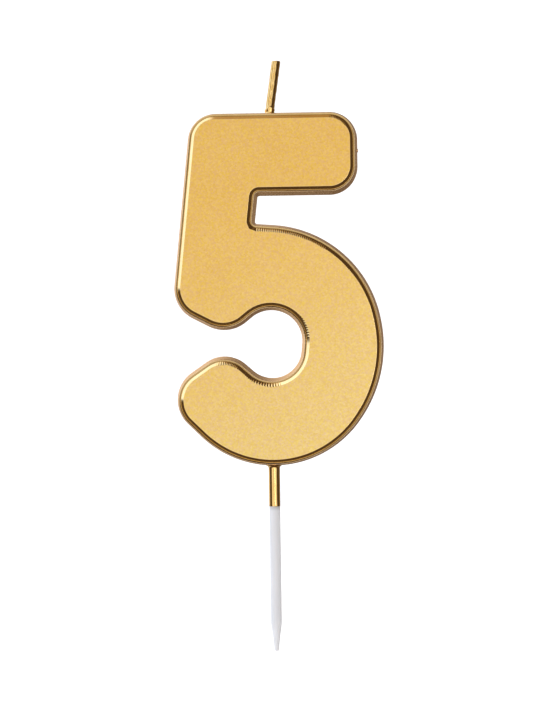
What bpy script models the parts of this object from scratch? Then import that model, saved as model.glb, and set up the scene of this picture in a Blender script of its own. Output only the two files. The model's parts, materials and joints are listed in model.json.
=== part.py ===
"""Number birthday candle, digit five: a wax casting in a gold coat, on a plastic pick, with a wick.

Metres, +Z up along the pick, front face towards -Y. The origin is on the pick's axis at the lower end
of the gold coat, which is the line where the icing of a cake reaches.
"""

import math

import bmesh
import bpy

# Overall sizes: 120 mm from the pick's tip to the wick's end
PICK_TIP_Z = -0.0296
WICK_END_Z = 0.0904
HALF_THICKNESS = 0.0045
BEVEL_FOOT_Y = 0.0039  # the ledge outside the face's bevel lies this far from the middle plane

# The digit's top bar and corners
BAR_TOP = 0.0797
BAR_UNDERSIDE = 0.06295
BAR_RIGHT = 0.0177
CORNER_R = 0.0057
NOTCH_R = 0.00045

# The digit's outline at the parting line is a belt round discs, clockwise from the top left: x, z and
# radius of each disc. A minus radius is a hollow, which the belt passes on the disc's other side.
DISCS = [
    (-0.01090, BAR_TOP - CORNER_R, CORNER_R),  # top left corner
    (BAR_RIGHT - CORNER_R, BAR_TOP - CORNER_R, CORNER_R),  # top right corner
    (BAR_RIGHT - CORNER_R, BAR_UNDERSIDE + CORNER_R, CORNER_R),  # lower right corner of the bar
    (-0.00220, BAR_UNDERSIDE - NOTCH_R, -NOTCH_R),  # notch under the bar
    (-0.00275, 0.05775, -NOTCH_R),  # notch on top of the bowl
    (-0.00115, 0.03355, 0.02355),  # bowl, upper right
    (-0.00340, 0.03255, 0.02595),  # bowl, right
    (0.00015, 0.02960, 0.02135),  # bowl, bottom
    (-0.01270, 0.02175, 0.00675),  # lower end of the stroke
    (-0.00980, 0.02405, 0.00650),  # its shoulder, beside the mouth
    (0.00000, 0.03195, -0.00590),  # inside of the bowl, lower part
    (-0.00020, 0.03355, -0.00625),  # inside of the bowl, upper part
    (-0.00970, 0.04290, 0.00700),  # foot of the stem, beside the mouth
    (-0.01305, 0.04435, 0.00675),  # heel of the stem
]
OUTLINE_SAG = 0.00004  # furthest that a straight side leaves its arc

# Half section through the digit's rim: inset from the parting line, distance from the middle plane.
# A drafted wall, a rounded shoulder, a ledge and a bevel at 45 degrees up to the flat face.
FACE_INSET = 0.00154
BEVEL_RISE = HALF_THICKNESS - BEVEL_FOOT_Y
COAT_SECTION = [
    (0.0, 0.0),
    (0.00037, 0.0033),
    (0.00047, 0.00362),
    (0.00066, BEVEL_FOOT_Y),
    (FACE_INSET - BEVEL_RISE, BEVEL_FOOT_Y),
    (FACE_INSET, HALF_THICKNESS),
]
COAT_THICKNESS = 0.0003
COAT_GAP = 0.0001  # between the coat and the casting

# Pick: a white stick with a blunt point, turned down where the coat covers it, ribbed in the wax
PICK_R = 0.00109
PICK_TIP_R = 0.0004
PICK_TAPER = 0.0057
PICK_NECK_R = 0.00093
PICK_TOP_Z = 0.0200
RIB_R = 0.00108
RIB_COUNT = 4
RIB_PITCH = 0.0022
RIBS_START_Z = 0.0106
SOCKET_R = 0.00118
SOCKET_END = 0.0003  # room above the pick
RIB_SLOPE = 0.55  # where a barb starts and reaches its full radius, as shares of the pitch
RIB_FULL = 0.15
CHAMFER = 0.0003
SHOULDER_GAP = 0.00005  # between the pick's shoulder and the end of the sleeve

# Neck: the coat's sleeve round the top of the pick
DIGIT_FOOT_Z = 0.0083
NECK_R = 0.00115
NECK_BORE_R = 0.00100
NECK_FILLET = 0.0006

# Wick: three plies laid in a helix, cut where it bends, at its root just above the digit
WICK_LEAN = math.radians(8.2)
WICK_ROOT_X = 0.00016
WICK_PIVOT_Z = BAR_TOP + 0.00095
WICK_JACKET_R = 0.00086
WICK_JACKET_THICKNESS = 0.00012
WICK_DRAIN_R = 0.0003  # the opening under the jacket, where the plies go on down
WICK_LENGTH = (WICK_END_Z - WICK_PIVOT_Z - WICK_JACKET_R * math.sin(WICK_LEAN)) / math.cos(WICK_LEAN)
PLY_COUNT = 3
PLY_R = 0.00029
PLY_LAY_R = 0.000355
PLY_PITCH = 0.0052
PLY_STEPS = 12  # points to one turn of the helix
WICK_HOLE_R = 0.00082
WICK_SEAT_R = 0.00094
WICK_HOLE_END_Z = 0.0660
BURIED_END_Z = 0.0664
BURIED_TOP_Z = BAR_TOP - 0.00008
BEAD_TOP_Z = WICK_PIVOT_Z - 0.0003
BEAD_R = 0.00104
BEAD_BELLY = 0.00013  # how far the bead's belly stands out of its top
BEAD_FOOT_R = 0.00132

ROUND_STEPS = 24


def clear_scene():
    for old in list(bpy.data.objects):
        bpy.data.objects.remove(old)


def new_collection(name):
    collection = bpy.data.collections.new(name)
    bpy.context.scene.collection.children.link(collection)
    return collection


def material(name, color, roughness, metallic=0.0):
    made = bpy.data.materials.new(name)
    made.use_nodes = True
    shader = made.node_tree.nodes["Principled BSDF"]
    shader.inputs["Base Color"].default_value = (*color, 1.0)
    shader.inputs["Roughness"].default_value = roughness
    shader.inputs["Metallic"].default_value = metallic
    return made


def empty(name, collection, location, rotation=(0, 0, 0), parent=None):
    made = bpy.data.objects.new(name, None)
    made.empty_display_size = 0.01
    made.location = location
    made.rotation_euler = rotation
    made.parent = parent
    collection.objects.link(made)
    return made


def finished(obj, finish, parent):
    """Gives a part its material and smooth round faces, and joins it to its body."""
    obj.data.materials.append(finish)
    obj.parent = parent
    if obj.type == "MESH":
        obj.data.shade_smooth()
        obj.data.set_sharp_from_angle(angle=math.radians(35))
    return obj


def as_cutter(obj):
    obj.hide_render = True
    obj.display_type = "WIRE"
    return obj


def arc(center_x, center_z, radius, start, end, steps):
    """Points on a circle from angle start to angle end, both in degrees."""
    turns = [math.radians(start + (end - start) * step / steps) for step in range(steps + 1)]
    return [(center_x + radius * math.cos(a), center_z + radius * math.sin(a)) for a in turns]


def inward(section, distance):
    """A half section moved into the digit by a distance, with its corners mitred."""
    normals = []
    for (inset, y), (next_inset, next_y) in zip(section, section[1:]):
        length = math.hypot(next_inset - inset, next_y - y)
        normals.append(((next_y - y) / length, (inset - next_inset) / length))
    before = [(normals[0][0], -normals[0][1])] + normals
    after = normals + [(0.0, -1.0)]
    moved = []
    for (inset, y), (a_x, a_y), (b_x, b_y) in zip(section, before, after):
        reach = distance / (1 + a_x * b_x + a_y * b_y)
        moved.append((inset + (a_x + b_x) * reach, y + (a_y + b_y) * reach))
    return moved


def flat_curve(name, points, cyclic):
    curve = bpy.data.curves.new(name, "CURVE")
    curve.dimensions = "2D"
    spline = curve.splines.new("POLY")
    spline.points.add(len(points) - 1)
    for point, (x, y) in zip(spline.points, points):
        point.co = (x, y, 0, 1)
    spline.use_cyclic_u = cyclic
    return curve


def belt_normals(discs):
    """The direction, as an angle, that the belt's straight run from each disc to the next faces."""
    normals = []
    for (x, z, radius), (next_x, next_z, next_radius) in zip(discs, discs[1:] + discs[:1]):
        run = math.atan2(next_z - z, next_x - x)
        lean = math.acos((radius - next_radius) / math.hypot(next_x - x, next_z - z))
        normals.append(run + lean)
    return normals


def belt_outline(discs, sag):
    """Points clockwise along the belt: an arc on each disc, joined by straight tangents."""
    normals = belt_normals(discs)
    points = []
    for index, (x, z, radius) in enumerate(discs):
        start, end = normals[index - 1], normals[index]
        if radius > 0:
            sweep = -((start - end) % (2 * math.pi))
        else:
            sweep = (end - start) % (2 * math.pi)
        widest = radius if radius > 0 else FACE_INSET - radius
        steps = math.ceil(abs(sweep) / (2 * math.acos(1 - sag / widest)))
        for step in range(steps + 1):
            angle = start + sweep * step / steps
            points.append((x + radius * math.cos(angle), z + radius * math.sin(angle)))
    return points


def digit_solid(name, half_section, collection):
    """The digit's outline swept with a rim section, the same on the front and the back."""
    back = [(inset, -y) for inset, y in reversed(half_section[1:])]
    section_curve = flat_curve(name + "_section", back + half_section, False)
    section = bpy.data.objects.new(name + "_section", section_curve)
    outline = flat_curve(name + "_outline", belt_outline(DISCS, OUTLINE_SAG), True)
    outline.fill_mode = "BOTH"
    outline.bevel_mode = "OBJECT"
    outline.bevel_object = section
    swept = bpy.data.objects.new(name + "_outline", outline)
    swept.rotation_euler = (math.pi / 2, 0, 0)
    collection.objects.link(section)
    collection.objects.link(swept)
    bpy.context.view_layer.update()
    seen = swept.evaluated_get(bpy.context.evaluated_depsgraph_get())
    mesh = bpy.data.meshes.new_from_object(seen)
    shape = bmesh.new()
    shape.from_mesh(mesh)
    bmesh.ops.remove_doubles(shape, verts=shape.verts, dist=1e-7)
    shape.to_mesh(mesh)
    shape.free()
    made = bpy.data.objects.new(name, mesh)
    made.matrix_world = swept.matrix_world
    bpy.data.objects.remove(swept)
    bpy.data.objects.remove(section)
    collection.objects.link(made)
    return made


def turned_solid(name, profile, collection):
    """A profile of radius and height, run down its outer side, turned about Z."""
    mesh = bpy.data.meshes.new(name)
    edges = [(index, index + 1) for index in range(len(profile) - 1)]
    mesh.from_pydata([(radius, 0, z) for radius, z in profile], edges, [])
    made = bpy.data.objects.new(name, mesh)
    collection.objects.link(made)
    screw = made.modifiers.new("turn", "SCREW")
    screw.steps = screw.render_steps = ROUND_STEPS
    screw.use_merge_vertices = True
    screw.merge_threshold = 1e-6
    screw.use_smooth_shade = True
    return made


def rod(name, radius, low, high, collection):
    return turned_solid(name, [(0, high), (radius, high), (radius, low), (0, low)], collection)


def boolean(obj, operation, other):
    change = obj.modifiers.new(other.name, "BOOLEAN")
    change.operation = operation
    change.object = other
    change.solver = "EXACT"


def ply_curve(name, turn, low, high, collection):
    """One ply of the wick: a round strand in a helix about Z."""
    steps = math.ceil((high - low) / PLY_PITCH * PLY_STEPS)
    curve = bpy.data.curves.new(name, "CURVE")
    curve.dimensions = "3D"
    curve.bevel_depth = PLY_R
    curve.bevel_resolution = 2
    curve.use_fill_caps = True
    spline = curve.splines.new("POLY")
    spline.points.add(steps)
    for step, point in enumerate(spline.points):
        z = low + (high - low) * step / steps
        angle = 2 * math.pi * (z / PLY_PITCH + turn)
        point.co = (PLY_LAY_R * math.cos(angle), PLY_LAY_R * math.sin(angle), z, 1)
    made = bpy.data.objects.new(name, curve)
    collection.objects.link(made)
    return made


def make_wax_core(parts, cutters, wax, body):
    core = digit_solid("wax_core", inward(COAT_SECTION, COAT_THICKNESS + COAT_GAP), parts)
    socket = as_cutter(rod("pick_socket", SOCKET_R, 0.0, PICK_TOP_Z + SOCKET_END, cutters))
    hole = as_cutter(rod("wick_hole", WICK_HOLE_R, WICK_HOLE_END_Z, WICK_END_Z, cutters))
    hole.location.x = WICK_ROOT_X
    finished(core, wax, body)
    boolean(core, "DIFFERENCE", socket)
    boolean(core, "DIFFERENCE", hole)


def neck_profile():
    """The sleeve round the pick, flaring in a fillet where it meets the foot of the digit."""
    fillet_z = DIGIT_FOOT_Z - NECK_FILLET
    fillet = arc(NECK_R + NECK_FILLET, fillet_z, NECK_FILLET, 100, 180, 4)
    embedded_z = DIGIT_FOOT_Z + COAT_THICKNESS + 0.0005
    flare_r = fillet[0][0]
    return [(0, embedded_z), (flare_r, embedded_z)] + fillet + [(NECK_R, 0), (0, 0)]


def bead_profile():
    """The ring of coat that gathers round the root of the wick."""
    embedded_z = BAR_TOP - COAT_THICKNESS / 2
    return [
        (0, BEAD_TOP_Z),
        (BEAD_R, BEAD_TOP_Z),
        (BEAD_R + BEAD_BELLY, BEAD_TOP_Z - BEAD_BELLY),
        (BEAD_R + BEAD_BELLY, BAR_TOP + BEAD_BELLY),
        (BEAD_FOOT_R, BAR_TOP),
        (BEAD_FOOT_R, embedded_z),
        (0, embedded_z),
    ]


def wick_seat_profile():
    """A round cup for the foot of the moving wick, with the wick's hole under it."""
    rim = math.degrees(math.asin(WICK_HOLE_R / WICK_SEAT_R)) - 90
    cup = arc(0, WICK_PIVOT_Z, WICK_SEAT_R, 90, rim, 10)
    low = BAR_TOP - 3 * COAT_THICKNESS
    return [(0, cup[0][1])] + cup[1:] + [(WICK_HOLE_R, low), (0, low)]


def make_gold_coat(parts, cutters, gold, body):
    coat = digit_solid("gold_coat", COAT_SECTION, parts)
    neck = as_cutter(turned_solid("neck", neck_profile(), cutters))
    bead = as_cutter(turned_solid("root_bead", bead_profile(), cutters))
    cavity = as_cutter(digit_solid("coat_cavity", inward(COAT_SECTION, COAT_THICKNESS), cutters))
    bore = as_cutter(rod("neck_bore", NECK_BORE_R, -0.001, DIGIT_FOOT_Z + 0.002, cutters))
    seat = as_cutter(turned_solid("wick_seat", wick_seat_profile(), cutters))
    bead.location.x = seat.location.x = WICK_ROOT_X
    finished(coat, gold, body)
    boolean(coat, "UNION", neck)
    boolean(coat, "UNION", bead)
    boolean(coat, "DIFFERENCE", cavity)
    boolean(coat, "DIFFERENCE", bore)
    boolean(coat, "DIFFERENCE", seat)


def rib_profile():
    """Barbs round the buried end of the pick, from the top one down."""
    points = []
    for index in reversed(range(RIB_COUNT)):
        low = RIBS_START_Z + index * RIB_PITCH
        points += [(PICK_NECK_R, low + RIB_PITCH * RIB_SLOPE), (RIB_R, low + RIB_PITCH * RIB_FULL)]
        points += [(RIB_R, low), (PICK_NECK_R, low)]
    return points


def make_pick(parts, plastic, body):
    top = [(0, PICK_TOP_Z), (PICK_NECK_R - CHAMFER, PICK_TOP_Z), (PICK_NECK_R, PICK_TOP_Z - CHAMFER)]
    shoulder = [
        (PICK_NECK_R, -SHOULDER_GAP),
        (PICK_R - SHOULDER_GAP, -SHOULDER_GAP),
        (PICK_R, -2 * SHOULDER_GAP),
    ]
    point = [(PICK_R, PICK_TIP_Z + PICK_TAPER), (PICK_TIP_R, PICK_TIP_Z), (0, PICK_TIP_Z)]
    pick = turned_solid("pick", top + rib_profile() + shoulder + point, parts)
    finished(pick, plastic, body)


def make_wick_jacket(parts, gold, pivot):
    """A sleeve with a closed end above and a round foot below, open where the plies go on down."""
    inner_r = WICK_JACKET_R - WICK_JACKET_THICKNESS
    outer_foot = math.degrees(math.acos(WICK_DRAIN_R / WICK_JACKET_R))
    inner_foot = math.degrees(math.acos(WICK_DRAIN_R / inner_r))
    end = WICK_LENGTH
    outside = [(0, end), (inner_r, end), (WICK_JACKET_R, end - WICK_JACKET_THICKNESS)]
    outside += arc(0, 0, WICK_JACKET_R, 0, -outer_foot, 6)
    inside = arc(0, 0, inner_r, -inner_foot, 0, 6)
    inside += [(inner_r, end - WICK_JACKET_THICKNESS), (0, end - WICK_JACKET_THICKNESS)]
    jacket = turned_solid("wick_jacket", outside + inside, parts)
    finished(jacket, gold, pivot)


def make_plies(parts, cotton, body, pivot):
    stub_end = WICK_LENGTH - 2 * WICK_JACKET_THICKNESS
    for index in range(PLY_COUNT):
        turn = index / PLY_COUNT
        stub = ply_curve(f"stub_ply_{index + 1}", turn, 0.0, stub_end, parts)
        finished(stub, cotton, pivot)
        buried = ply_curve(f"buried_ply_{index + 1}", turn, BURIED_END_Z, BURIED_TOP_Z, parts)
        buried.location.x = WICK_ROOT_X
        finished(buried, cotton, body)


def main():
    clear_scene()
    parts = new_collection("number_birthday_candle")
    cutters = new_collection("cutters")
    wax = material("pale_wax", (0.86, 0.80, 0.66), 0.55)
    gold = material("gold_coat", (0.85, 0.56, 0.22), 0.28, metallic=1.0)
    plastic = material("white_plastic", (0.86, 0.86, 0.88), 0.35)
    cotton = material("waxed_cotton", (0.84, 0.80, 0.70), 0.8)
    body = empty("candle", parts, (0, 0, 0))
    pivot = empty("wick_pivot", parts, (WICK_ROOT_X, 0, WICK_PIVOT_Z), (0, WICK_LEAN, 0), body)
    make_wax_core(parts, cutters, wax, body)
    make_gold_coat(parts, cutters, gold, body)
    make_pick(parts, plastic, body)
    make_wick_jacket(parts, gold, pivot)
    make_plies(parts, cotton, body, pivot)


main()
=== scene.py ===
"""Looks of the number birthday candle: its gold coat, root bead, gold neck, wick and white pick.

Metres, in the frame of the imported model: +Z up along the pick, front face towards -Y.
"""

import json
import math

import bmesh
import bpy
import numpy as np
from mathutils import Matrix, Vector, noise


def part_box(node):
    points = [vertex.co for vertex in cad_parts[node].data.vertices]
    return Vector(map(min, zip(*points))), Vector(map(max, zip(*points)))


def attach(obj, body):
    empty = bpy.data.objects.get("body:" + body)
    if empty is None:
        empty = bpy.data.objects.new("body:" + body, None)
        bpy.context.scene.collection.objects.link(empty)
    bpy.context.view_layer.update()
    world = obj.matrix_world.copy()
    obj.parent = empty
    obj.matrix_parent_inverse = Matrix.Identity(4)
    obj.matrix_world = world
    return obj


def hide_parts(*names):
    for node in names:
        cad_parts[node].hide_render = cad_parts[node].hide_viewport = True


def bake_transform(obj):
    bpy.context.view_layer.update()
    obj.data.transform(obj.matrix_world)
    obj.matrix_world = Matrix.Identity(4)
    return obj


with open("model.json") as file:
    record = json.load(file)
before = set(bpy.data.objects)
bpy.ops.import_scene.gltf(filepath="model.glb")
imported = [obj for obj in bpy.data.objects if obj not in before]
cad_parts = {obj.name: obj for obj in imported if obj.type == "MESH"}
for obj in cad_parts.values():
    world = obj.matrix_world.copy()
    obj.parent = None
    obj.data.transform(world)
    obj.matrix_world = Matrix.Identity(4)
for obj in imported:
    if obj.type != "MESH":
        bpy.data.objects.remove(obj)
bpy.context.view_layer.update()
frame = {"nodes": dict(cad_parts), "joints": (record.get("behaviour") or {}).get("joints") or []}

MM = 0.001

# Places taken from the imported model
HALF_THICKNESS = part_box("gold_coat")[1].y
PICK_LOW, PICK_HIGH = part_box("pick")
WICK_TOP_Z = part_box("wick_jacket")[1].z
WICK_PIVOT = Vector(frame["joints"][0]["pos_m"])

# The digit's outline at the parting line: a belt round discs, clockwise from the top left, as the CAD has
# it. Each disc is x, z and radius, and a minus radius is a hollow that the belt passes on the other side.
BAR_TOP = 0.0797
BAR_UNDERSIDE = 0.06295
BAR_RIGHT = 0.0177
CORNER_R = 0.0057
NOTCH_R = 0.00045
DISCS = [
    (-0.01090, BAR_TOP - CORNER_R, CORNER_R),  # top left corner
    (BAR_RIGHT - CORNER_R, BAR_TOP - CORNER_R, CORNER_R),  # top right corner
    (BAR_RIGHT - CORNER_R, BAR_UNDERSIDE + CORNER_R, CORNER_R),  # lower right corner of the bar
    (-0.00220, BAR_UNDERSIDE - NOTCH_R, -NOTCH_R),  # notch under the bar
    (-0.00275, 0.05775, -NOTCH_R),  # notch on top of the bowl
    (-0.00115, 0.03355, 0.02355),  # bowl, upper right
    (-0.00340, 0.03255, 0.02595),  # bowl, right
    (0.00015, 0.02960, 0.02135),  # bowl, bottom
    (-0.01270, 0.02175, 0.00675),  # lower end of the stroke
    (-0.00980, 0.02405, 0.00650),  # its shoulder, beside the mouth
    (0.00000, 0.03195, -0.00590),  # inside of the bowl, lower part
    (-0.00020, 0.03355, -0.00625),  # inside of the bowl, upper part
    (-0.00970, 0.04290, 0.00700),  # foot of the stem, beside the mouth
    (-0.01305, 0.04435, 0.00675),  # heel of the stem
]
DIGIT_FOOT_Z = 0.0083

# Spacing of points along the outline
FINE_STEP = 0.075 * MM  # where the bevel carries tool marks
PLAIN_STEP = 0.42 * MM
ARC_STEP = math.radians(5)

# The rim's section: inset from the parting line, and distance from the mid plane. A steep drafted wall
# ends in a round crown, from which a lip slopes down to a valley. There a bevel rises to the flat face.
FLASH_OUT = 0.03 * MM
FLASH_HALF = 0.10 * MM
WALL = [(0.14 * MM, 1.1 * MM), (0.27 * MM, 2.2 * MM), (0.40 * MM, 3.3 * MM), (0.46 * MM, 3.8 * MM)]
CROWN_R = 0.07 * MM
VALLEY_INSET = 0.88 * MM
LIP_TILT = 25  # degrees between the lip's inner side and the flat face
LIP_WIDTH = 0.27 * MM  # from the top of the crown to the foot of the bevel
FACE_INSET = 1.54 * MM
BEVEL_TILT = 42  # degrees between the bevel and the flat face
FACE_EDGE_R = 0.12 * MM
FLAT_MARGIN = 0.06 * MM

# Tool marks: the bevel's upper edge runs into the face in short teeth
TOOTH_PITCH = 0.43 * MM
TOOTH_REACH = 0.26 * MM

# Neck and root bead
NECK_R = 0.00115
NECK_FILLET = 0.0006
NECK_EMBED = 0.0012
BEAD_R = 0.00096
BEAD_FOOT_R = 0.00098
BEAD_RISE = 0.75  # how much taller the bead is in front
BEAD_CUP_R = 0.00078  # the bead is hollow round the yarn, which bends inside it

# Wick
WICK_LEAN = math.radians(8.2)
WICK_R = 0.00087
PLY_COUNT = 3
PLY_PITCH = 0.0052
WICK_CUT = 0.17 * MM  # the film's end is cut this much short of the CAD's
WICK_FLATNESS = 0.09  # how far the film is out of round, as a share of the radius
PLY_RELIEF = 0.03  # how far the grooves between the plies go in, as a share of the radius
WICK_END_ROUND = 0.00016

ROUND_STEPS = 64

# Camera
EYE = Vector((0.0098, -0.3682, 0.0398))
TARGET = Vector((-0.001254, 0.0, 0.030625))
ROLL_UP = Vector((0.01421, 0.0, 1.0))
LENS_MM = 91.915


# Mesh helpers


def ring_mesh(name, rings, bands, cap):
    """A closed mesh of rings of points. bands has a material number for each band, and cap is the ends'."""
    count = len(rings[0])
    points = np.concatenate(rings)
    faces = []
    numbers = []
    for band, number in enumerate(bands):
        low = band * count
        for i in range(count):
            j = (i + 1) % count
            faces.append((low + i, low + j, low + count + j, low + count + i))
            numbers.append(number)
    for ring in (0, len(rings) - 1):
        faces.append(tuple(range(ring * count, (ring + 1) * count)))
        numbers.append(cap)
    mesh = bpy.data.meshes.new(name)
    mesh.from_pydata(points.tolist(), [], faces)
    mesh.polygons.foreach_set("material_index", numbers)
    made = bpy.data.objects.new(name, mesh)
    bpy.context.scene.collection.objects.link(made)
    face_outward(mesh)
    mesh.shade_smooth()
    return made


def face_outward(mesh):
    shape = bmesh.new()
    shape.from_mesh(mesh)
    bmesh.ops.recalc_face_normals(shape, faces=shape.faces)
    shape.to_mesh(mesh)
    shape.free()


def circle_ring(radius, z, shape):
    """A ring about Z. shape(turn, z) gives how far a point stands out of the circle."""
    points = []
    for step in range(ROUND_STEPS):
        turn = 2 * math.pi * step / ROUND_STEPS
        r = radius + shape(turn, z)
        points.append((r * math.cos(turn), r * math.sin(turn), z))
    return np.array(points)


def arc(center_a, center_b, radius_a, radius_b, start, end, steps):
    """Points on an ellipse from angle start to angle end, in degrees."""
    turns = [math.radians(start + (end - start) * step / steps) for step in range(steps + 1)]
    return [(center_a + radius_a * math.cos(t), center_b + radius_b * math.sin(t)) for t in turns]


def smooth_step(value, low, high):
    share = min(1.0, max(0.0, (value - low) / (high - low)))
    return share * share * (3 - 2 * share)


def wobble(place, scale, seed=0.0):
    """Smooth noise, about -1 to 1, at a place in metres. scale is the size of its lumps."""
    return noise.noise(Vector(place) / scale + Vector((seed, 3.1 * seed, 7.7 * seed)))


# The digit's outline


def belt_normals():
    """The direction, as an angle, that the belt's straight run from each disc to the next faces."""
    normals = []
    for (x, z, radius), (next_x, next_z, next_radius) in zip(DISCS, DISCS[1:] + DISCS[:1]):
        run = math.atan2(next_z - z, next_x - x)
        lean = math.acos((radius - next_radius) / math.hypot(next_x - x, next_z - z))
        normals.append(run + lean)
    return normals


def belt_candidates(step):
    """Close points clockwise along the belt: x, z and the angle that the outline faces there."""
    normals = belt_normals()
    found = []
    for index, (x, z, radius) in enumerate(DISCS):
        start, end = normals[index - 1], normals[index]
        sweep = -((start - end) % (2 * math.pi)) if radius > 0 else (end - start) % (2 * math.pi)
        count = max(2, math.ceil(abs(sweep * radius) / step))
        for i in range(count + 1):
            angle = start + sweep * i / count
            found.append((x + radius * math.cos(angle), z + radius * math.sin(angle), angle))
        next_x, next_z, next_radius = DISCS[(index + 1) % len(DISCS)]
        a = Vector(found[-1][:2])
        b = Vector((next_x + next_radius * math.cos(end), next_z + next_radius * math.sin(end)))
        count = math.ceil((b - a).length / step)
        found += [(*a.lerp(b, i / count), end) for i in range(1, count)]
    return found


def tooth_strength(angle, x, z):
    """How strong the tool marks are, from 0 to 1, where the outline faces this way at this place."""
    facing = math.degrees(angle) % 360
    full = 76 if z > BAR_UNDERSIDE else 94
    top = smooth_step(facing, 25, 48) * (1 - smooth_step(facing, full, full + 15))
    left = 0.8 * smooth_step(facing, 182, 194) * (1 - smooth_step(facing, 212, 235))
    return max(top, left if x > 0 else 0.0)


def belt_outline():
    """The outline as arrays: points (x, z), outward directions, angles and distances along it."""
    step = FINE_STEP / 8
    picked = []
    along = 0.0
    last = None
    travel = 0.0
    for x, z, angle in belt_candidates(step):
        if last is not None:
            travel += math.hypot(x - last[0], z - last[1])
        last = (x, z)
        wanted = FINE_STEP if tooth_strength(angle, x, z) > 0.02 else PLAIN_STEP
        turned = abs(angle - picked[-1][2]) if picked else 9.0
        if travel - along >= wanted or turned >= ARC_STEP:
            picked.append((x, z, angle, travel))
            along = travel
    first, final = picked[0], picked[-1]
    if math.hypot(first[0] - final[0], first[1] - final[1]) < FINE_STEP / 2:
        picked.pop()
    table = np.array(picked)
    facing = np.stack([np.cos(table[:, 2]), np.sin(table[:, 2])], axis=1)
    return table[:, :2], facing, table[:, 2], table[:, 3]


# The digit's rim


def rim_section():
    """Stations from the parting line to the face: inset, distance from the mid plane, and material."""
    stations = [(0.0, 0.0, "rim"), (0.0, FLASH_HALF * 0.35, "rim"), (FLASH_OUT, FLASH_HALF, "rim")]
    stations += [(inset, y, "rim") for inset, y in WALL]
    valley_y = HALF_THICKNESS - (FACE_INSET - VALLEY_INSET) * math.tan(math.radians(BEVEL_TILT))
    lip_foot = VALLEY_INSET - 0.005 * MM
    crown_y = valley_y + LIP_WIDTH * math.tan(math.radians(LIP_TILT)) - CROWN_R
    for inset, y in arc(lip_foot - LIP_WIDTH, crown_y, CROWN_R, CROWN_R, 175, 90 - LIP_TILT, 7):
        stations.append((inset, y, "rim"))
    crown_end, crown_end_y = stations[-1][:2]
    # The lip down to the valley takes the darker gold, painted shade for the dark crevice
    for share in (0.08, 0.5, 0.92, 0.98, 1.0):
        inset = crown_end + (lip_foot - crown_end) * share
        stations.append((inset, crown_end_y + (valley_y - crown_end_y) * share, "painted_shade_cove"))
    rise = HALF_THICKNESS - valley_y
    for share in (0.0, 0.01, 0.04, 0.25, 0.5, 0.7):
        inset = VALLEY_INSET + (FACE_INSET - VALLEY_INSET) * share
        stations.append((inset, valley_y + rise * share, "edge"))
    tangent = FACE_EDGE_R * math.tan(math.radians(BEVEL_TILT / 2))
    center = (FACE_INSET + tangent, HALF_THICKNESS - FACE_EDGE_R)
    for inset, y in arc(*center, FACE_EDGE_R, FACE_EDGE_R, 90 + BEVEL_TILT, 90, 5):
        stations.append((inset, y, "edge"))
    stations.append((center[0] + FLAT_MARGIN, HALF_THICKNESS, "face"))
    return stations


def tooth_reach(outline):
    """How far the bevel's upper edge runs into the face at each point of the outline."""
    points, _, angles, along = outline
    strength = np.array([tooth_strength(angle, x, z) for angle, (x, z) in zip(angles, points)])
    drift = np.array([noise.noise(Vector((s / (1.9 * MM), 0.5, 0.5))) for s in along])
    waves = 0.5 + 0.5 * np.sin(2 * math.pi * along / TOOTH_PITCH + 3.0 * drift)
    return TOOTH_REACH * strength * waves**1.5 * (0.8 + 0.9 * drift)


def rim_ring(outline, reach, inset, y, side):
    """One ring of the rim. side is -1 in front and 1 behind. Teeth stretch the bevel inwards."""
    points, facing, _, _ = outline
    stretch = min(1.0, max(0.0, (inset - VALLEY_INSET) / (FACE_INSET - VALLEY_INSET)))
    shift = inset + reach * stretch
    places = points - facing * shift[:, None]
    return np.stack([places[:, 0], np.full(len(places), side * y), places[:, 1]], axis=1)


def make_gold_shell(finishes):
    """The coat over the digit: rim, lip, bevel and flat faces, front and back."""
    outline = belt_outline()
    section = rim_section()
    order = {"rim": 0, "painted_shade_cove": 1, "edge": 2, "face": 3}
    reach = tooth_reach(outline)
    front = [rim_ring(outline, reach, inset, y, -1) for inset, y, _ in reversed(section)]
    back = [rim_ring(outline, 0.4 * reach, inset, y, 1) for inset, y, _ in section[1:]]
    half_bands = [order[kind] for _, _, kind in section[1:]]
    shell = ring_mesh("gold_shell", front + back, half_bands[::-1] + half_bands, order["face"])
    for finish in finishes:
        shell.data.materials.append(finish)
    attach(shell, "candle")
    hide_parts("gold_coat")
    return shell


# Round pieces


def turned_piece(name, profile, finish, shape):
    """A profile of radius and height about Z, from the bottom up. shape is as in circle_ring."""
    rings = [circle_ring(radius, z, shape) for radius, z in profile]
    made = ring_mesh(name, rings, [0] * (len(rings) - 1), 0)
    made.data.materials.append(finish)
    return made


def make_neck(gold):
    """The sleeve that the coat leaves round the top of the pick, with a fillet under the digit."""

    def shape(turn, z):
        place = (math.cos(turn) * NECK_R, math.sin(turn) * NECK_R, z)
        lip = 1 - smooth_step(z, 0.0, 0.0008)
        return 0.012 * MM * wobble(place, 1.6 * MM) + 0.03 * MM * lip * wobble(place, 0.7 * MM, 2.0)

    lip_r = 0.05 * MM
    profile = [(NECK_R - 0.3 * MM, 0.0), (NECK_R - lip_r, 0.0)]
    profile += arc(NECK_R - lip_r, lip_r, lip_r, lip_r, -60, 0, 3)
    fillet_z = DIGIT_FOOT_Z - NECK_FILLET
    profile += [(NECK_R, fillet_z * step / 12) for step in range(1, 12)]
    profile += arc(NECK_R + NECK_FILLET, fillet_z, NECK_FILLET, NECK_FILLET, 180, 100, 8)
    flare = profile[-1][0]
    profile.append((flare, DIGIT_FOOT_Z + NECK_EMBED))
    neck = turned_piece("gold_neck", profile, gold, shape)
    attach(neck, "candle")
    return neck


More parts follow.
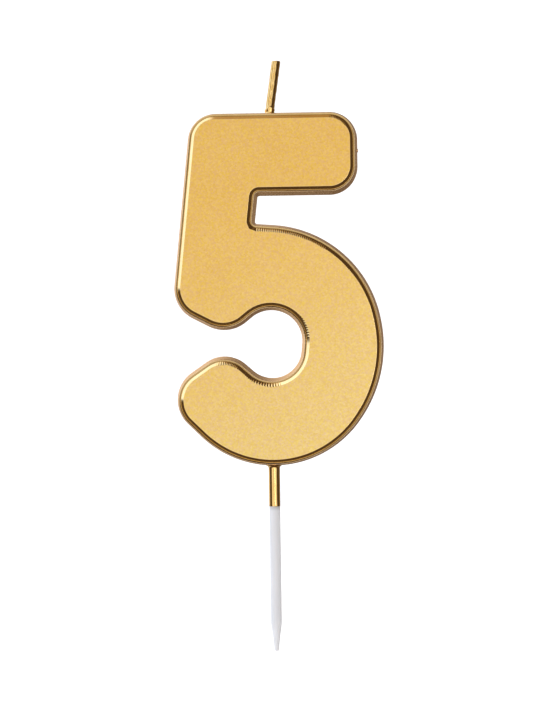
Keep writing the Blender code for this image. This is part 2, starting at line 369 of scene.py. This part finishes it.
def make_root_bead(gold):
    """The collar of coat round the wick's root, with a drop in front and a small lobe on the left."""
    lumps = [  # direction, height, angular half width, half height, how far out
        (math.radians(-80), BAR_TOP + 0.00060, 0.70, 0.75 * MM, 0.15 * MM),
        (math.radians(-165), BAR_TOP + 0.00030, 0.50, 0.30 * MM, 0.24 * MM),
        (math.radians(100), BAR_TOP + 0.00050, 1.2, 0.50 * MM, 0.08 * MM),
    ]

    def shape(turn, z):
        out = 0.03 * MM * wobble((math.cos(turn) * MM, math.sin(turn) * MM, z), 0.9 * MM)
        for direction, height, wide, tall, reach in lumps:
            away = math.remainder(turn - direction, 2 * math.pi) / wide
            up = (z - height) / tall
            out += reach * math.exp(-(away * away) - up * up)
        return out

    profile = [(BEAD_FOOT_R, BAR_TOP - 0.0003), (BEAD_FOOT_R, BAR_TOP - 0.05 * MM)]
    profile += arc(BEAD_FOOT_R, BAR_TOP + 0.00010, 0.00010, 0.00010, 260, 180, 3)
    profile += arc(BEAD_R - 0.00016, BAR_TOP + 0.00056, 0.00016, 0.00022, -40, 110, 9)
    profile += [(BEAD_CUP_R, BAR_TOP + 0.00066), (BEAD_CUP_R, BAR_TOP + 0.0001)]
    bead = turned_piece("root_bead", profile, gold, shape)
    for corner in bead.data.vertices:
        in_front = max(0.0, -corner.co.y / math.hypot(corner.co.x, corner.co.y)) ** 3
        corner.co.z += BEAD_RISE * in_front * max(0.0, corner.co.z - BAR_TOP)
    bead.data.transform(Matrix.Translation((WICK_PIVOT.x, 0.0, 0.0)))
    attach(bead, "candle")
    return bead


def wick_lean(height):
    """How far the wick leans at a height above its pivot: upright in the bar, then its full lean."""
    return WICK_LEAN * smooth_step(height, -0.0006, 0.0006)


def wick_profile(length):
    """Radius and height above the pivot along the wick, from inside the bar to its rounded end."""
    start = BAR_TOP - 0.0003 - WICK_PIVOT.z
    straight_end = length - WICK_END_ROUND
    count = 90
    profile = [(WICK_R, start + (straight_end - start) * i / count) for i in range(count + 1)]
    profile += arc(WICK_R - WICK_END_ROUND, straight_end, WICK_END_ROUND, WICK_END_ROUND, 15, 90, 5)
    return profile + [(0.42 * WICK_R, length - 0.01 * MM), (0.15 * WICK_R, length - 0.03 * MM)]


def wick_ring(center, side, radius, height):
    """One ring of the film. center is from the pivot, and side is the ring's direction to the right."""
    ring = []
    for step in range(ROUND_STEPS):
        turn = 2 * math.pi * step / ROUND_STEPS
        lay = PLY_COUNT * (turn - 2 * math.pi * height / PLY_PITCH)
        groove = PLY_RELIEF * (0.5 - 0.5 * math.cos(lay)) ** 1.5
        flat = WICK_FLATNESS * math.cos(2 * turn + 1.5 * math.pi)
        place = (math.cos(turn) * WICK_R, math.sin(turn) * WICK_R, height)
        rough = 0.02 * wobble(place, 1.3 * MM, 5.0) + 0.002 * wobble(place, 0.3 * MM, 6.0)
        r = radius * (1 - groove + rough + flat)
        spot = center + side * (r * math.cos(turn)) + Vector((0.0, r * math.sin(turn), 0.0))
        ring.append(tuple(spot + WICK_PIVOT))
    return np.array(ring)


def make_wick(gold):
    """The bare end of the wick: three twisted plies under a gold film, cut level and a little rounded."""
    rise = WICK_TOP_Z - WICK_PIVOT.z - WICK_R * math.sin(WICK_LEAN)
    length = rise / math.cos(WICK_LEAN) - WICK_CUT
    profile = wick_profile(length)
    last = profile[0][1]
    center = Vector((0.0, 0.0, last))
    rings = []
    for radius, height in profile:
        lean = wick_lean(height)
        along = Vector((math.sin(lean), 0.0, math.cos(lean)))
        side = Vector((math.cos(lean), 0.0, -math.sin(lean)))
        center = center + along * (height - last)
        last = height
        level = smooth_step(height, length - 0.0009, length - 0.0002) * math.tan(lean)
        rings.append(wick_ring(center, side + along * level, radius, height))
    wick = ring_mesh("wick_sleeve", rings, [0] * (len(rings) - 1), 0)
    wick.data.materials.append(gold)
    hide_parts("wick_jacket")
    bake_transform(wick)
    return wick


def make_pick(plastic):
    """The white pick: a straight shank and a slightly hollow taper to a blunt point."""
    radius = PICK_HIGH.x
    under_coat_r = radius - 0.16 * MM
    tip_r = 0.0004
    tip_round = 0.00016
    taper = 0.0057
    hollow = 0.03 * MM
    low = PICK_LOW.z
    profile = arc(tip_r - tip_round, low + tip_round, tip_round, tip_round, -88, -5, 5)
    for step in range(1, 17):
        share = step / 16
        profile.append((tip_r + (radius - tip_r) * share - hollow * math.sin(math.pi * share),
                        low + tip_round + (taper - tip_round) * share))
    top = PICK_HIGH.z
    profile += [(radius, low + taper + (0.00001 - low - taper) * step / 24) for step in range(1, 25)]
    profile += [(under_coat_r, 0.00002), (under_coat_r, top), (radius - 0.4 * MM, top)]

    def shape(turn, z):
        place = (math.cos(turn) * radius, math.sin(turn) * radius, z)
        seam = math.exp(-((math.remainder(turn, math.pi) / 0.06) ** 2)) if z < 0 else 0.0
        return 0.01 * MM * wobble(place, 2.5 * MM) + 0.018 * MM * seam

    pick = turned_piece("pick_shank", profile, plastic, shape)
    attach(pick, "candle")
    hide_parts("pick")
    return pick


def make_gate_mark(gold):
    """The broken-off gate at the bar's right end: a low nub with a dimple."""
    nub_r = 0.34 * MM
    nub_z = 0.0718
    profile = [(nub_r + 0.1 * MM, -0.1 * MM), (nub_r, 0.0)]
    profile += arc(nub_r - 0.1 * MM, 0.06 * MM, 0.1 * MM, 0.1 * MM, -20, 90, 5)
    profile += [(0.18 * MM, 0.12 * MM), (0.08 * MM, 0.06 * MM)]

    def shape(turn, z):
        return 0.05 * MM * wobble((math.cos(turn) * MM, math.sin(turn) * MM, z), 0.6 * MM, 9.0)

    nub = turned_piece("gate_mark", profile, gold, shape)
    nub.data.transform(Matrix.Translation((BAR_RIGHT, 0.0, nub_z)) @ Matrix.Rotation(math.pi / 2, 4, "Y"))
    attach(nub, "candle")
    return nub


# Materials


def new_material(name, **constants):
    """A node material. Sockets of its shader that are the same all over are set here."""
    made = bpy.data.materials.new(name)
    made.use_nodes = True
    shader = made.node_tree.nodes["Principled BSDF"]
    for socket, value in constants.items():
        shader.inputs[socket.replace("_", " ")].default_value = value
    return made, made.node_tree, shader


def node(tree, kind, settings=None, **inputs):
    """Adds a node. An input is a number, a colour or another node's output."""
    made = tree.nodes.new("ShaderNode" + kind)
    for key, value in (settings or {}).items():
        setattr(made, key, value)
    for key, value in inputs.items():
        socket = made.inputs[int(key[1:]) if key[1:].isdigit() else key.replace("_", " ")]
        if isinstance(value, bpy.types.NodeSocket):
            tree.links.new(value, socket)
        else:
            socket.default_value = value
    return made


def object_mm(tree):
    """Object coordinates in millimetres."""
    place = node(tree, "TexCoord").outputs["Object"]
    return node(tree, "VectorMath", {"operation": "SCALE"}, Vector=place, Scale=1000.0).outputs["Vector"]


def blend_colors(tree, share, first, second):
    """A colour that goes from first to second as share goes from 0 to 1."""
    mix = node(tree, "Mix", {"data_type": "RGBA"})
    for socket, value in ((mix.inputs[0], share), (mix.inputs[6], first), (mix.inputs[7], second)):
        if isinstance(value, bpy.types.NodeSocket):
            tree.links.new(value, socket)
        else:
            socket.default_value = value if isinstance(value, float) else (*value, 1.0)
    return mix.outputs[2]


def mapped(tree, value, from_low, from_high, to_low, to_high, smooth=False):
    settings = {"interpolation_type": "SMOOTHSTEP" if smooth else "LINEAR"}
    return node(tree, "MapRange", settings, i0=value, i1=from_low, i2=from_high, i3=to_low,
                i4=to_high).outputs[0]


def noise_value(tree, place, scale, detail=2.0, roughness=0.5):
    return node(tree, "TexNoise", Vector=place, Scale=scale, Detail=detail, Roughness=roughness).outputs[0]


def bump(tree, shader, height, strength, distance):
    made = node(tree, "Bump", Strength=strength, Distance=distance, Height=height)
    tree.links.new(made.outputs["Normal"], shader.inputs["Normal"])


def face_gold():
    """Satin gold of the flat faces: flakes and faint clouds, and a painted reflection, deeper gold at the
    top and paler low down.
    """
    made, tree, shader = new_material("satin_gold_face", Metallic=1.0)
    place = object_mm(tree)
    axes = node(tree, "SeparateXYZ", Vector=place)
    # Painted reflection: the base colour runs from deeper gold at the top to paler low down and to the
    # right, standing in for the light's changing reflection
    drift = node(tree, "Math", {"operation": "MULTIPLY_ADD"}, i0=axes.outputs["X"], i1=-0.45,
                 i2=axes.outputs["Z"]).outputs[0]
    share = mapped(tree, drift, 70.0, 5.0, 0.0, 1.0, smooth=True)
    painted_reflection_gradient = blend_colors(tree, share, (0.84, 0.530, 0.142), (0.86, 0.630, 0.240))
    clouds = noise_value(tree, place, 0.11, 3.0)
    cloudiness = mapped(tree, clouds, 0.3, 0.7, 0.0, 0.25)
    clouded = blend_colors(tree, cloudiness, painted_reflection_gradient, (0.90, 0.62, 0.22))
    flakes = node(tree, "TexVoronoi", Vector=place, Scale=3.4).outputs["Color"]
    cell = node(tree, "SeparateXYZ", Vector=flakes)
    grain = noise_value(tree, place, 3.4, 2.0, 0.6)
    red = mapped(tree, cell.outputs["X"], 0.0, 1.0, 0.955, 1.035)
    green = mapped(tree, cell.outputs["X"], 0.0, 1.0, 0.915, 1.075)
    blue = mapped(tree, cell.outputs["Y"], 0.0, 1.0, 0.66, 1.34)
    mottled = node(tree, "CombineXYZ", X=red, Y=green, Z=blue).outputs[0]
    color = node(tree, "VectorMath", {"operation": "MULTIPLY"}, i0=clouded, i1=mottled).outputs[0]
    tree.links.new(color, shader.inputs["Base Color"])
    tree.links.new(mapped(tree, cell.outputs["Z"], 0.0, 1.0, 0.34, 0.48), shader.inputs["Roughness"])
    bump(tree, shader, grain, 0.18, 0.00003)
    return made


def glossy_gold(name, base, pale, roughness, grain_scale, glancing=(1.0, 1.0, 1.0)):
    """Bright gold where the coat is smooth: faint clouds of colour and roughness, and a slight ripple."""
    made, tree, shader = new_material(name, Metallic=1.0, Specular_Tint=(*glancing, 1.0))
    place = object_mm(tree)
    clouds = noise_value(tree, place, 0.35, 3.0)
    color = blend_colors(tree, mapped(tree, clouds, 0.3, 0.7, 0.0, 1.0), base, pale)
    tree.links.new(color, shader.inputs["Base Color"])
    grain = noise_value(tree, place, grain_scale, 3.0, 0.55)
    rough = mapped(tree, grain, 0.3, 0.7, roughness * 0.8, roughness * 1.25)
    tree.links.new(rough, shader.inputs["Roughness"])
    bump(tree, shader, grain, 0.2, 0.00002)
    return made


def wick_gold():
    """Gold film over twisted yarn: fine fibres run along it and show through."""
    made, tree, shader = new_material("wick_gold", Metallic=1.0, Specular_Tint=(0.8, 0.58, 0.34, 1.0))
    place = object_mm(tree)
    drawn = node(tree, "Mapping", Vector=place, Scale=(5.0, 5.0, 0.8)).outputs[0]
    fibres = noise_value(tree, drawn, 1.0, 3.0, 0.6)
    clouds = noise_value(tree, place, 0.9, 2.0)
    share = mapped(tree, clouds, 0.35, 0.65, 0.0, 1.0)
    color = blend_colors(tree, share, (0.72, 0.465, 0.155), (0.84, 0.60, 0.26))
    tree.links.new(color, shader.inputs["Base Color"])
    tree.links.new(mapped(tree, fibres, 0.3, 0.7, 0.14, 0.20), shader.inputs["Roughness"])
    bump(tree, shader, fibres, 0.02, 0.00002)
    return made


def white_plastic():
    """Moulded white plastic: a little light goes into it, with faint flow lines along the shank."""
    made, tree, shader = new_material("white_plastic", IOR=1.49, Subsurface_Weight=0.25,
                                      Subsurface_Scale=0.0006, Subsurface_Radius=(1.0, 0.9, 0.85))
    place = object_mm(tree)
    drawn = node(tree, "Mapping", Vector=place, Scale=(2.2, 2.2, 0.12)).outputs[0]
    flow = noise_value(tree, drawn, 1.0, 3.0)
    share = mapped(tree, flow, 0.3, 0.7, 0.0, 1.0)
    color = blend_colors(tree, share, (0.765, 0.768, 0.79), (0.80, 0.803, 0.815))
    tree.links.new(color, shader.inputs["Base Color"])
    fine = noise_value(tree, place, 4.0, 3.0, 0.6)
    tree.links.new(mapped(tree, fine, 0.3, 0.7, 0.30, 0.44), shader.inputs["Roughness"])
    bump(tree, shader, fine, 0.12, 0.00003)
    return made


def pale_wax():
    """Uncoloured paraffin under the coat, cloudy and a little see-through."""
    made, tree, shader = new_material("pale_wax", Subsurface_Weight=0.6, Subsurface_Scale=0.002, IOR=1.43)
    place = object_mm(tree)
    clouds = noise_value(tree, place, 0.4, 4.0)
    share = mapped(tree, clouds, 0.3, 0.7, 0.0, 1.0)
    color = blend_colors(tree, share, (0.80, 0.72, 0.56), (0.90, 0.85, 0.72))
    tree.links.new(color, shader.inputs["Base Color"])
    tree.links.new(mapped(tree, clouds, 0.3, 0.7, 0.45, 0.65), shader.inputs["Roughness"])
    bump(tree, shader, noise_value(tree, place, 2.0, 3.0), 0.2, 0.00005)
    return made


def waxed_cotton():
    """Cotton yarn soaked in wax: fine fibres in a slant, darker where the wax is thick."""
    made, tree, shader = new_material("waxed_cotton", Sheen_Weight=0.2)
    place = object_mm(tree)
    drawn = node(tree, "Mapping", Vector=place, Rotation=(0.0, 0.35, 0.6), Scale=(9.0, 9.0, 1.5))
    fibres = noise_value(tree, drawn.outputs[0], 1.0, 4.0, 0.65)
    share = mapped(tree, fibres, 0.3, 0.7, 0.0, 1.0)
    color = blend_colors(tree, share, (0.66, 0.60, 0.47), (0.88, 0.84, 0.74))
    tree.links.new(color, shader.inputs["Base Color"])
    tree.links.new(mapped(tree, fibres, 0.3, 0.7, 0.9, 0.65), shader.inputs["Roughness"])
    bump(tree, shader, fibres, 0.5, 0.00005)
    return made


def dress_cad_nodes(finishes):
    """CAD nodes that stay in the model get their material by node name."""
    for name, finish in finishes.items():
        data = frame["nodes"][name].data
        data.materials.clear()
        data.materials.append(finish)


# Stage


def stage_white():
    """Plain white floor and backdrop, lit from within a little so that they stay clear of shadows."""
    made, tree, shader = new_material("stage_white", Roughness=0.9, Emission_Strength=0.74,
                                      Emission_Color=(1.0, 1.0, 1.0, 1.0))
    speckle = noise_value(tree, object_mm(tree), 0.02, 2.0)
    color = blend_colors(tree, speckle, (0.56, 0.56, 0.56), (0.60, 0.60, 0.60))
    tree.links.new(color, shader.inputs["Base Color"])
    return made


def make_stage():
    """A floor at the pick's tip that curves up into a backdrop. Shiny parts see the lights instead."""
    floor_z = PICK_LOW.z - 0.0002
    half_width, front_y, back_y, sweep_r, top_z = 2.4, -2.4, 0.9, 0.5, 1.6
    section = [(front_y, floor_z)]
    section += arc(back_y - sweep_r, floor_z + sweep_r, sweep_r, sweep_r, -90, 0, 12) + [(back_y, top_z)]
    points = [(x, y, z) for x in (-half_width, half_width) for y, z in section]
    count = len(section)
    faces = [(i, i + count, i + count + 1, i + 1) for i in range(count - 1)]
    mesh = bpy.data.meshes.new("studio_sweep")
    mesh.from_pydata(points, [], faces)
    mesh.shade_smooth()
    sweep = bpy.data.objects.new("studio_sweep", mesh)
    bpy.context.scene.collection.objects.link(sweep)
    mesh.materials.append(stage_white())
    sweep.visible_glossy = False


# Light


def light_tent():
    """What shiny parts see: a tent in front, a softbox on the upper left, grey behind, and dark between.

    The zones are set by cosines with the ways ahead (to the camera), left and up, and by the angle round
    the camera's axis from straight up towards the left.
    """
    world = bpy.data.worlds.new("studio_light")
    bpy.context.scene.world = world
    world.use_nodes = True
    tree = world.node_tree
    way = node(tree, "TexCoord").outputs["Generated"]
    axes = node(tree, "SeparateXYZ", Vector=way)
    x, y, z = (axes.outputs[i] for i in range(3))
    ahead = node(tree, "Math", {"operation": "MULTIPLY"}, i0=y, i1=-1.0).outputs[0]
    left = node(tree, "Math", {"operation": "MULTIPLY"}, i0=x, i1=-1.0).outputs[0]
    round_angle = node(tree, "Math", {"operation": "ARCTAN2"}, i0=left, i1=z).outputs[0]

    def product(*values):
        total = values[0]
        for value in values[1:]:
            total = node(tree, "Math", {"operation": "MULTIPLY"}, i0=total, i1=value).outputs[0]
        return total

    def add(a, b):
        return node(tree, "Math", {"operation": "ADD"}, i0=a, i1=b).outputs[0]

    def window(value, low, low_full, high_full, high):
        rise = mapped(tree, value, low, low_full, 0.0, 1.0, smooth=True)
        fall = mapped(tree, value, high_full, high, 1.0, 0.0, smooth=True)
        return product(rise, fall)

    # The tent round the camera, a little darker in its middle, reaches further down than up
    leaning = add(add(ahead, product(left, 0.02)), product(z, -0.20))
    tent = mapped(tree, leaning, 0.56, 0.80, 0.0, 1.10, smooth=True)
    core = mapped(tree, ahead, 0.88, 0.965, 0.0, 0.30, smooth=True)
    low_part = mapped(tree, z, -0.22, -0.40, 0.0, 0.4, smooth=True)
    low_glow = product(low_part, window(ahead, 0.80, 0.85, 0.95, 0.98))
    # The softbox stands level with the digit, and its spill lies on the tent
    up_left = window(round_angle, *map(math.radians, (0, 22, 86, 93)))
    box = product(up_left, window(ahead, -0.36, -0.20, 0.20, 0.34))
    halo = product(up_left, window(ahead, 0.12, 0.22, 0.60, 0.72))
    # Weak warm light straight above
    over = window(round_angle, *map(math.radians, (-12, 1, 10, 26)))
    top = product(over, window(ahead, -0.42, -0.30, 0.30, 0.50))
    # The room behind, brighter on the left and darker low down
    behind = mapped(tree, ahead, -0.18, -0.45, 0.0, 1.0, smooth=True)
    low_shade = mapped(tree, z, -0.02, -0.22, 1.0, 0.6, smooth=True)
    from_left = mapped(tree, add(left, product(z, 0.15)), -0.16, 0.40, 0.22, 0.98, smooth=True)

    white = node(tree, "Math", {"operation": "SUBTRACT"}, i0=tent, i1=core).outputs[0]
    for share in (low_glow, product(halo, 0.55), product(behind, from_left, low_shade)):
        white = add(white, share)
    lit = node(tree, "CombineXYZ", X=white, Y=white, Z=white).outputs[0]
    for share, tint in ((box, (1.20, 1.45, 1.95)), (top, (0.38, 0.25, 0.10))):
        glow = node(tree, "VectorMath", {"operation": "SCALE"}, Vector=tint, Scale=share).outputs[0]
        lit = node(tree, "VectorMath", {"operation": "ADD"}, i0=lit, i1=glow).outputs[0]
    warm_dark = (0.085, 0.054, 0.033)
    color = node(tree, "VectorMath", {"operation": "ADD"}, i0=lit, i1=warm_dark).outputs[0]
    tree.links.new(color, tree.nodes["Background"].inputs["Color"])


def soft_light(name, location, target, width, height, energy, color=(1.0, 1.0, 1.0)):
    data = bpy.data.lights.new(name, "AREA")
    data.shape = "RECTANGLE"
    data.size, data.size_y = width, height
    data.energy = energy
    data.color = color
    lamp = bpy.data.objects.new(name, data)
    lamp.location = location
    lamp.rotation_euler = (Vector(target) - Vector(location)).to_track_quat("-Z", "Y").to_euler()
    bpy.context.scene.collection.objects.link(lamp)
    return lamp


def make_lights():
    middle = (0.0, 0.0, 0.03)
    soft_light("key_upper_left", (-0.42, -0.95, 0.22), middle, 0.16, 0.5, 0.15, (1.0, 0.99, 0.96))
    soft_light("fill_lower_right", (0.20, -0.95, -0.06), middle, 0.10, 0.30, 0.42, (0.96, 0.98, 1.0))


# Camera


def make_camera():
    """A long lens, a little right of and above the digit's middle, turned so the digit leans left."""
    data = bpy.data.cameras.new("camera")
    data.lens = LENS_MM
    camera = bpy.data.objects.new("camera", data)
    back = (EYE - TARGET).normalized()
    right = ROLL_UP.cross(back).normalized()
    up = back.cross(right)
    camera.matrix_world = Matrix.Translation(EYE) @ Matrix((right, up, back)).transposed().to_4x4()
    bpy.context.scene.collection.objects.link(camera)
    bpy.context.scene.camera = camera


def main():
    rim = glossy_gold("pinkish_gold_rim", (0.78, 0.55, 0.32), (0.84, 0.61, 0.38), 0.26, 2.5,
                      glancing=(1.0, 0.80, 0.58))
    # Darker gold for the lip into the valley: painted shade where the crevice is dark
    painted_shade_cove = glossy_gold("painted_shade_gold_lip", (0.48, 0.33, 0.135), (0.54, 0.38, 0.16), 0.12, 2.0)
    edge = glossy_gold("bright_gold_edge", (0.88, 0.61, 0.25), (0.93, 0.68, 0.31), 0.13, 2.0)
    neck_gold = glossy_gold("bright_gold_neck", (0.86, 0.57, 0.20), (0.92, 0.64, 0.26), 0.12, 1.2)
    wick_finish = wick_gold()
    make_gold_shell([rim, painted_shade_cove, edge, face_gold()])
    make_neck(neck_gold)
    make_root_bead(neck_gold)
    make_wick(wick_finish)
    make_pick(white_plastic())
    make_gate_mark(rim)
    cotton = waxed_cotton()
    plies = [name for name in frame["nodes"] if "_ply_" in name]
    dress_cad_nodes({"wax_core": pale_wax(), **{name: cotton for name in plies}})
    make_stage()
    light_tent()
    make_lights()
    make_camera()
    bpy.context.scene.view_settings.view_transform = "Standard"


main()
